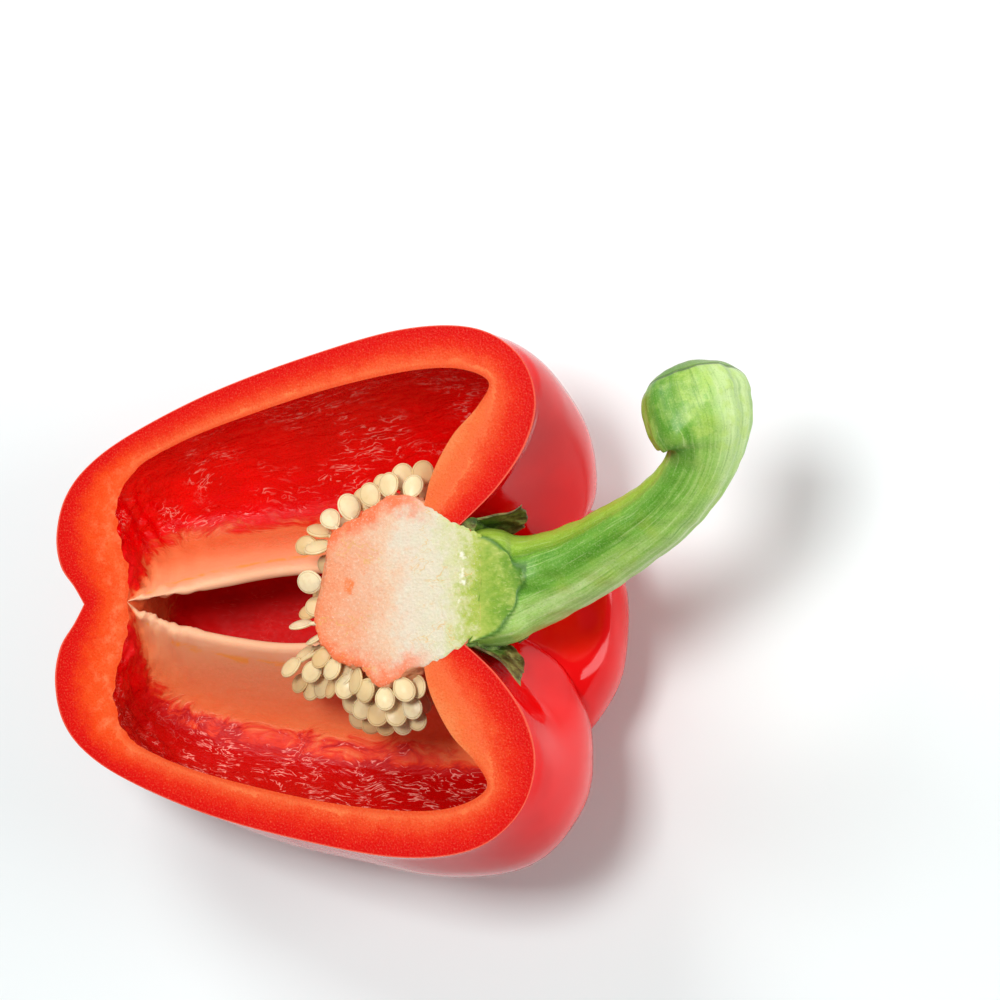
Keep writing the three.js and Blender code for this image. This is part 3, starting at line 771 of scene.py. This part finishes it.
class Columns:
    """The columns that skin and hollow share, from cut edge to cut edge."""

    def __init__(self, u):
        radius = np.maximum(along(HOLLOW_FURROW, u)[:, 1], ROOT_SPREAD_RADIUS)
        reach = np.degrees(SEPTUM_ROOT / radius)
        half = along(SEPTUM_SIDE, np.linspace(0, 1, SEPTUM_COLUMNS))
        self.psi, self.side, self.height, self.furrow = [], [], [], []
        start = np.zeros_like(u)
        for index, middle in enumerate(FURROWS):
            self.wall(start, middle - reach, WALL_COLUMNS[index])
            for side, height in half:
                self.septum(index, middle, -side, height, radius)
            for side, height in half[-2::-1]:
                self.septum(index, middle, side, height, radius)
            start = middle + reach
        self.wall(start, np.full_like(u, 180.0), WALL_COLUMNS[-1], last=True)
        self.psi = np.stack(self.psi, 1)

    def wall(self, start, end, count, last=False):
        first = 0 if not self.psi else 1
        for k in range(first, count + (1 if last else 0)):
            self.psi.append(start + (end - start) * k / count)
            self.side.append(0)
            self.height.append(0)
            self.furrow.append(-1)

    def septum(self, index, middle, side, height, radius):
        self.psi.append(middle + np.degrees(side / radius))
        self.side.append(side)
        self.height.append(min(max(height, 0), 1))
        self.furrow.append(index)


def septum_edge(index, u, side):
    x, r = along(SEPTUM_EDGES[index], u).T
    edge = place(x, r * fullness(FURROWS[index]), FURROWS[index])
    turn = math.radians(FURROWS[index])
    shift = side * np.minimum(1, r / 6)
    edge[:, 1] -= shift * math.sin(turn)
    edge[:, 2] -= shift * math.cos(turn)
    return edge


def hollow_grid(u, columns):
    grid = hollow(u[:, None], columns.psi)
    for j, index in enumerate(columns.furrow):
        if index >= 0:
            height = columns.height[j]
            grid[:, j] += (septum_edge(index, u, columns.side[j]) - grid[:, j]) * height
    return grid


def paleness(u, columns, radius):
    """1 on the septa, falling to 0 on the walls beside them and rising again at both ends.

    The middle hollow's blossom end is pale as far as its end wall reaches.
    """
    pale = np.zeros(columns.psi.shape)
    for middle in FURROWS:
        away = np.radians(np.abs(columns.psi - middle)) * radius[:, None]
        pale = np.maximum(pale, 0.4 * (1 - smoothstep(4.5, 9, away)))
    height = np.array(columns.height)
    pale = np.maximum(pale, np.where(height > 0, 0.4 + 0.6 * smoothstep(0, 0.25, height), 0)[None])
    ends = np.maximum(1 - smoothstep(0.0, 0.16, u), smoothstep(0.9, 1.0, u))
    in_middle = (columns.psi > FURROWS[0]) & (columns.psi < FURROWS[1])
    knot = 0.72 * (1 - smoothstep(0.2, 0.34, u))[:, None] * in_middle
    return np.maximum(pale, np.maximum(0.75 * ends[:, None], knot))


def flesh_piece():
    """Skin, hollow with its septa, and the cut that joins them, as one closed mesh."""
    u = np.linspace(0, 1, ROWS)
    columns = Columns(u)
    outer = skin(u[:, None], columns.psi)
    inner = hollow_grid(u, columns)
    radius = np.maximum(along(HOLLOW_FURROW, u)[:, 1], ROOT_SPREAD_RADIUS)
    pinned = np.minimum(u * 8, 1)[:, None] * smoothstep(0, 4, np.minimum(columns.psi, 180 - columns.psi))
    outer += grid_normals(outer) * (waves(outer, 26, 3, 2) * 0.35 * pinned)[..., None]
    wrinkle = waves(inner * (0.25, 1, 1), 2.6, 11, 2) * 0.11 * pinned
    calm = np.where(np.array(columns.height) > 0.1, 0.25, 1.0)
    knot = smoothstep(0.03, 0.08, u) * (1 - smoothstep(0.2, 0.42, u))
    lumps = waves(inner, 3.8, 17, 3) * 0.5 * knot[:, None]
    inner += grid_normals(inner) * (wrinkle * calm + lumps)[..., None]
    inner[:, (0, -1), 2] = 0
    shell = Shell()
    shell.grid(outer, 0)
    shell.grid(inner, 2, flip=True, depth=1.0, pale=paleness(u, columns, radius),
               rise=np.array(columns.height)[None])
    across = np.linspace(0, 1, CUT_STEPS + 1) ** 1.15
    for column, flip in ((0, False), (-1, True)):
        first, second = outer[:, column, None], inner[:, column, None]
        strip = first + (second - first) * across[None, :, None]
        shell.grid(strip, 1, flip=flip, depth=across[None])
    first, second = outer[-1][None], inner[-1][None]
    end = first + (second - first) * across[:, None, None]
    shell.grid(end, 1, depth=across[:, None])
    piece = shell.build("flesh_half", [skin_material(), cut_material(), hollow_material()])
    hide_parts("flesh")
    return piece


# ---- Core ----

def core(u, psi):
    share = (1 - np.cos(np.radians(psi)))[..., None] / 2
    upper, lower = along(CORE_UPPER, u), along(CORE_LOWER, u)
    outline = upper + (lower - upper) * share
    x, r = outline[..., 0], outline[..., 1]
    squared = np.sin(np.radians(2 * psi)) ** 2
    swell = (0.13 - 0.07 * np.cos(np.radians(psi))) * squared - 0.05 * np.sin(np.radians(psi)) ** 2
    return place(x, r * (1 + swell * (1 - smoothstep(64, 71, x))), psi, CORE_Y)


def core_piece():
    """The core: a lumpy body under a cut face that stands a little out of the cut."""
    u = np.linspace(0, 1, 110)
    psi = np.linspace(0, 180, 90)[None]
    body = core(u[:, None], psi + 0 * u[:, None])
    lumpy = waves(body, 3.4, 21, 3) * 0.34 + waves(body, 1.1, 23, 2) * 0.17
    body += grid_normals(body) * (lumpy * np.minimum(u * 10, 1)[:, None])[..., None]
    body[:, 0, 2] = body[:, -1, 2] = 0
    across = np.linspace(0, 1, psi.size)
    face = body[:, 0, None] + (body[:, -1, None] - body[:, 0, None]) * across[None, :, None]
    rim = np.abs(across * 2 - 1)[None] + 0 * u[:, None]
    rim = np.maximum(rim, 1 - u[:, None] / 0.3)
    rounded = 1 - np.clip(1 - (1 - np.abs(across * 2 - 1)) / 0.06, 0, 1) ** 2
    ends = np.minimum(u / 0.03, 1)[:, None]
    face[..., 2] += CORE_PROUD * rounded[None] * ends + waves(face, 4, 5, 2) * 0.05 * rounded[None] * ends
    shell = Shell()
    shell.grid(body, 1, rim=1.0)
    shell.grid(face, 0, flip=True, rim=rim)
    stop = face[-1] + (body[-1] - face[-1]) * np.linspace(0, 1, 8)[:, None, None]
    shell.grid(stop, 1, rim=1.0)
    piece = shell.build("seed_core", [core_material(), core_side_material()])
    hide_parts("placenta")
    return piece


# ---- Seeds ----

def drawer(seed):
    """A repeatable random draw between -1 and 1."""
    state = seed
    while True:
        state = (state * 1103515245 + 12345) % 2147483648
        yield state / 2147483648 * 2 - 1


def nearest_on_core(point):
    """The point of the core's surface nearest to a seed."""
    u, psi = np.linspace(0.02, 0.8, 60)[:, None], np.linspace(2, 178, 60)[None]
    spots = core(u + 0 * psi, psi + 0 * u).reshape(-1, 3)
    return Vector(spots[np.linalg.norm(spots - np.array(point), axis=1).argmin()])


def ring_seeds():
    """Middle, outward direction and facing of the seeds in rings round the back of the core."""
    draws = drawer(7)
    draw = lambda: next(draws)
    first, last = RING_SPAN
    for ring in range(RINGS):
        u = first + (last - first) * ring / (RINGS - 1)
        x, r = along(CORE_PLAIN, u)
        count = max(4, round(math.pi * (r + 1.5) / SEED_PITCH))
        for k in range(count):
            psi = 180 * (k + 0.5 + 0.18 * (1 if ring % 2 else -1) + 0.12 * draw()) / count
            near = (k + ring) % 2 or x > 64
            distance = (2.7 if near else 4.4) + 0.3 * draw()
            aside = min(abs(math.sin(math.radians(psi - furrow))) for furrow in FURROWS)
            turn = Vector((draw(), draw(), draw()))
            if aside * (r + distance) > 3.7 and 4 < psi < 176:
                point, outward = core_frame(u + 0.012 * draw(), psi)
                yield point + outward * distance, outward, SEED_FACING + turn * 0.55


def front_seeds():
    """The seeds just under the cut, one by one, rolled about their roots."""
    for x, y, z, roll in FRONT_SEEDS:
        middle = Vector((x, y, z))
        outward = (middle - nearest_on_core(middle)).normalized()
        facing = SEED_FACING - outward * SEED_FACING.dot(outward)
        yield middle, outward, Matrix.Rotation(math.radians(roll), 3, outward) @ facing


def core_frame(u, psi):
    """A point of the core and its outward direction."""
    step = 0.004
    inside = min(max(u, 0.02), 1 - step)
    around = min(max(psi, 1), 179)
    at = lambda a, b: Vector(core(np.array(a), np.array(float(b))))
    forward = at(inside + step, around) - at(inside - step, around)
    sideways = at(inside, around + 1) - at(inside, around - 1)
    return at(u, psi), forward.cross(sideways).normalized()


def seed_grid(middle, facing, normal, size, bend):
    """One flat seed: a plump rim round a slightly dished disc, drawn out to its root."""
    wide = facing.cross(normal).normalized()
    long = wide.cross(facing).normalized()
    if long.dot(normal) < 0:
        long.negate()
    turns = np.radians(np.linspace(0, 360, 25))
    rings = np.radians(np.linspace(-90, 90, 11))
    outline = 1 + 0.16 * np.maximum(np.cos(turns), 0) ** 6 - 0.04 * np.cos(2 * turns)
    rows = []
    for tilt in rings:
        flat = max(math.cos(tilt), 0) ** 0.72
        up = 0.5 * math.sin(tilt) * (1 - 0.3 * math.exp(-((flat - 0.7) / 0.14) ** 2))
        along_root = -2.3 * size * flat * outline * np.cos(turns)
        aside = -1.85 * size * flat * outline * np.sin(turns)
        lift = up * size + bend * (along_root / 2) ** 2
        rows.append(np.array(middle)[None] + along_root[:, None] * np.array(long)
                    + aside[:, None] * np.array(wide) + lift[:, None] * np.array(facing))
    grid = np.stack(rows)
    rim = np.cos(rings)[:, None] + 0 * turns[None]
    return grid, rim


def stalk_grid(root, tip, radius):
    """A short closed stalk from the core to a seed."""
    axis = (tip - root).normalized()
    side = axis.orthogonal().normalized()
    other = axis.cross(side)
    turns = np.radians(np.linspace(0, 360, 9))
    rows = []
    for t, swell in STALK_PROFILE:
        middle = root.lerp(tip, t)
        wide = radius * swell
        rows.append(np.array(middle)[None] + wide * (np.cos(turns)[:, None] * np.array(side)
                                                     + np.sin(turns)[:, None] * np.array(other)))
    return np.stack(rows)


def seeds_piece():
    shell = Shell()
    rng = np.random.default_rng(5)
    front = list(front_seeds())
    behind = [seed for seed in ring_seeds()
              if min((seed[0] - other[0]).length for other in front) > 3.0 and seed[0].z < -2.5]
    for middle, outward, facing in front + behind:
        facing = facing.normalized() + Vector(rng.normal(0, 0.2, 3))
        facing = (facing - outward * 0.9 * facing.dot(outward)).normalized()
        root = nearest_on_core(middle)
        size = rng.uniform(0.88, 1.08)
        tone = rng.uniform(0, 1)
        grid, rim = seed_grid(middle, facing, outward, size, rng.uniform(-0.1, 0.1))
        shell.grid(grid, 0, rim=rim, tone=tone)
        stalk = stalk_grid(root - outward * 0.6, middle - outward * 1.6, STALK_RADIUS)
        shell.grid(stalk, 0, rim=0.2, tone=tone)
    piece = shell.build("seed_cluster", [seed_material()], weld=1e-6, sharp=70)
    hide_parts("seeds")
    return piece


# ---- Stem and calyx ----

def stem_rows(count):
    """Evenly spaced middle points of the stem with radius, direction and a steady frame."""
    dense = along(STEM, np.linspace(0, 1, 1500))
    reach = np.r_[0, np.linalg.norm(np.diff(dense[:, :3], axis=0), axis=1).cumsum()]
    wanted = np.linspace(0, reach[-1], count)
    rows = np.stack([np.interp(wanted, reach, dense[:, k]) for k in range(4)], 1)
    ahead = np.gradient(rows[:, :3], axis=0)
    ahead /= np.linalg.norm(ahead, axis=1, keepdims=True)
    up = np.array([0.0, 0.0, 1.0])
    ups, sides = [], []
    for direction in ahead:
        up = up - direction * (up @ direction)
        up /= np.linalg.norm(up)
        ups.append(up)
        sides.append(np.cross(direction, up))
    return rows, ahead, np.array(ups), np.array(sides), wanted


def stem_piece():
    """The ribbed stem, flat where it is cut beside the core, with its head folded over."""
    rows, ahead, ups, sides, run = stem_rows(STEM_STEPS)
    turns = np.radians(np.linspace(0, 360, STEM_COLUMNS))
    ribs = 1 + 0.045 * np.cos(5 * turns + 0.6) + 0.012 * np.cos(13 * turns)
    radius = rows[:, 3, None] * ribs[None]
    body = rows[:, None, :3] + radius[..., None] * (
        np.cos(turns)[None, :, None] * ups[:, None] + np.sin(turns)[None, :, None] * sides[:, None])
    body += grid_normals(body) * (waves(body, 5, 31, 2) * 0.1)[..., None]
    facing = np.clip((body - rows[:, None, :3]) @ LIP_SIDE / rows[:, 3, None], 0, 1) ** 1.4
    lip = facing * np.exp(-((run - run[-1] + LIP_FROM_END) / LIP_LENGTH) ** 2)[:, None]
    body += lip[..., None] * (LIP_SIDE * LIP_OUT - ahead[:, None] * LIP_BACK)
    body[:, -1] = body[:, 0]
    turned = turns[None] + 0 * run[:, None]
    grain = np.stack([run[:, None] + 0 * turned, GRAIN_RADIUS * np.cos(turned),
                      GRAIN_RADIUS * np.sin(turned)], -1)
    cutaway = (body[..., 0] < CUT_TO) & (body[..., 2] > STEM_CUT)
    # Painted shade: a dark green line along the edge where the stem is cut flat.
    above = np.abs(body[..., 2] - STEM_CUT)
    rimmed = 0.9 * (1 - smoothstep(0.1, 0.6, above)) * (body[..., 0] < CUT_TO + 1) * (body[..., 0] > 78)
    body[..., 2] = np.where(cutaway, STEM_CUT, body[..., 2])
    cap = np.where(body[..., 1] > 14, (body - HEAD_MIDDLE) @ np.array(HEAD_END), -20)
    # Which flank of the stem a point is on, read by the stem's painted light and shade.
    shade = np.sin(turns)[None] + 0 * run[:, None]
    shell = Shell()
    shell.grid(body, 0, grain=grain, shade=shade, rimmed=rimmed, cap=cap)
    for end, flip in ((0, True), (-1, False)):
        middle = rows[end, :3]
        inward = np.linspace(1, 0, 10)[:, None, None]
        disc = middle + (body[end][None] - middle) * inward
        shell.grid(disc, 1 if end else 0, flip=flip, grain=grain[end][None] + 0 * disc,
                   shade=0.0, rimmed=0.8)
    piece = shell.build("curved_stem", [stem_material(), stem_end_material(), stem_cut_material()])
    mesh = piece.data
    own = np.zeros(len(mesh.vertices) * 3)
    mesh.attributes["own"].data.foreach_get("vector", own)
    own = own.reshape(-1, 3)
    for face in mesh.polygons:
        spots = own[list(face.vertices)]
        if spots[:, 0].max() < CUT_TO + 1 and spots[:, 2].min() > STEM_CUT - 0.01:
            face.material_index = 2
    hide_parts("stem")
    return piece


def off_skin(u, psi, lift):
    """Points that stand off the skin by lift."""
    step = 0.003
    low, high = np.clip(u - step, 0, 1), np.clip(u + step, 0, 1)
    around = np.clip(psi, 1, 179)
    forward = skin(high, around) - skin(low, around)
    sideways = skin(u, np.clip(around + 1, 0, 180)) - skin(u, np.clip(around - 1, 0, 180))
    normal = np.cross(forward, sideways)
    normal /= np.maximum(np.linalg.norm(normal, axis=-1, keepdims=True), 1e-9)
    return skin(u, np.clip(psi, 0, 180)) + normal * lift[..., None]


def leaf_sheet(shell, start, end, near, far, seed):
    """One short ragged leaf, a closed thin sheet that leans out from the foot of the stem."""
    s = np.linspace(0, 1, 34)[:, None]
    t = np.linspace(0, 1, 37)[None]
    phase = np.random.default_rng(seed).uniform(0, 6, 4)
    side = np.abs(2 * t - 1)
    ragged = 0.28 * np.sin(t * 9 + phase[0]) + 0.16 * np.sin(t * 23 + phase[1])
    tip_x = near[0] + (far[0] - near[0]) * t + ragged + 0.5 * np.sin(math.pi * t)
    tip_r = near[1] + (far[1] - near[1]) * t
    x = CALYX_ROOT[0] + (tip_x - CALYX_ROOT[0]) * s
    r = CALYX_ROOT[1] + (tip_r - CALYX_ROOT[1]) * s**1.8
    r = r + (0.4 * np.sin(s * 6 + t * 8 + phase[2]) + 0.2 * np.sin(s * 13 - t * 11 + phase[3])) * s
    r = r + 0.5 * side**3 * s
    psi = start + (end - start) * (0.5 + (t - 0.5) * (1 - 0.16 * s**2))
    thick = 0.9 * (1 - 0.5 * s) * (1 - 0.45 * side**3)
    low = place(x, r * fullness(psi), psi)
    high = place(x, (r + thick) * fullness(psi), psi)
    tip = np.clip(0.75 * s**1.5 + 0.3 * side**6 + 0.1 * ragged * s, 0, 1)
    shell.grid(high, 0, tip=tip)
    shell.grid(low, 0, flip=True, tip=np.minimum(tip + 0.1, 1))
    for rows in (slice(0, 1), slice(-1, None)):
        shell.grid(np.concatenate([high[rows], low[rows]]), 0, tip=np.repeat(tip[rows], 2, 0))
    for edge in (slice(0, 1), slice(-1, None)):
        rim = np.concatenate([high[:, edge], low[:, edge]], 1)
        shell.grid(rim, 0, tip=np.repeat(tip[:, edge], 2, 1))


def collar_ring(shell):
    """The ring that the leaves grow from, close round the foot of the stem."""
    psi = np.linspace(1, 179, 160)[None]
    turn = np.linspace(0, 2 * math.pi, 17)[:, None]
    u = 0.985 + 0.013 * np.cos(turn) + 0 * psi
    ridges = 0.25 * np.cos(np.radians(psi) * 16)
    lift = 1.1 + (1.0 + ridges) * np.sin(turn)
    ring = off_skin(u, psi + 0 * u, lift)
    shell.grid(ring, 0, tip=0.15)
    for end in (0, -1):
        rim = ring[:, end]
        fan = rim.mean(axis=0) + (rim[None] - rim.mean(axis=0)) * np.linspace(0, 1, 4)[:, None, None]
        shell.grid(fan, 0, tip=0.3)


def calyx_piece():
    shell = Shell()
    collar_ring(shell)
    for seed, leaf in enumerate(CALYX_LEAVES):
        leaf_sheet(shell, *leaf, seed)
    piece = shell.build("leafy_calyx", [calyx_material()])
    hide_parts("calyx")
    return piece


# ---- Studio ----

def aim(thing, position, target, up=(0, 0, 1)):
    back = (Vector(position) - Vector(target)).normalized()
    right = Vector(up).cross(back).normalized()
    rise = back.cross(right)
    turn = Matrix((right, rise, back)).transposed()
    thing.matrix_world = Matrix.Translation(position) @ turn.to_4x4()


def make_camera():
    camera = bpy.data.objects.new("camera", bpy.data.cameras.new("camera"))
    bpy.context.scene.collection.objects.link(camera)
    camera.data.lens = LENS_MM
    camera.data.sensor_width = 36
    camera.data.clip_start = 0.01
    target = Vector(CAMERA_TARGET) * MM
    aim(camera, target + Vector(CAMERA_BACK).normalized() * CAMERA_DISTANCE, target, CAMERA_UP)
    bpy.context.scene.camera = camera


def make_light(name, position, target, size, power):
    light = bpy.data.lights.new(name, "AREA")
    light.shape = "RECTANGLE"
    light.size, light.size_y = size
    light.energy = power
    lamp = bpy.data.objects.new(name, light)
    bpy.context.scene.collection.objects.link(lamp)
    aim(lamp, Vector(position), Vector(target), (0.1, 1, 0.1))


def make_studio():
    mesh = bpy.data.meshes.new("floor")
    corners = [(x * FLOOR_HALF, y * FLOOR_HALF, 0) for x, y in ((-1, -1), (1, -1), (1, 1), (-1, 1))]
    mesh.from_pydata(corners, [], [(0, 1, 2, 3)])
    mesh.materials.append(floor_material())
    floor = bpy.data.objects.new("floor", mesh)
    floor.location.z = -FLOOR_DROP
    bpy.context.scene.collection.objects.link(floor)
    for light in LIGHTS:
        make_light(*light)
    world = bpy.data.worlds.new("studio")
    world.use_nodes = True
    background = world.node_tree.nodes["Background"]
    background.inputs["Color"].default_value = (1, 1, 1, 1)
    background.inputs["Strength"].default_value = WORLD_STRENGTH
    bpy.context.scene.world = world
    bpy.context.scene.view_settings.view_transform = "Standard"


make_camera()
make_studio()
for make, slot in (
    (flesh_piece, "flesh"), (core_piece, "placenta"), (seeds_piece, "seeds"),
    (stem_piece, "stem"), (calyx_piece, "calyx"),
):
    made = make()
    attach(made, "root")
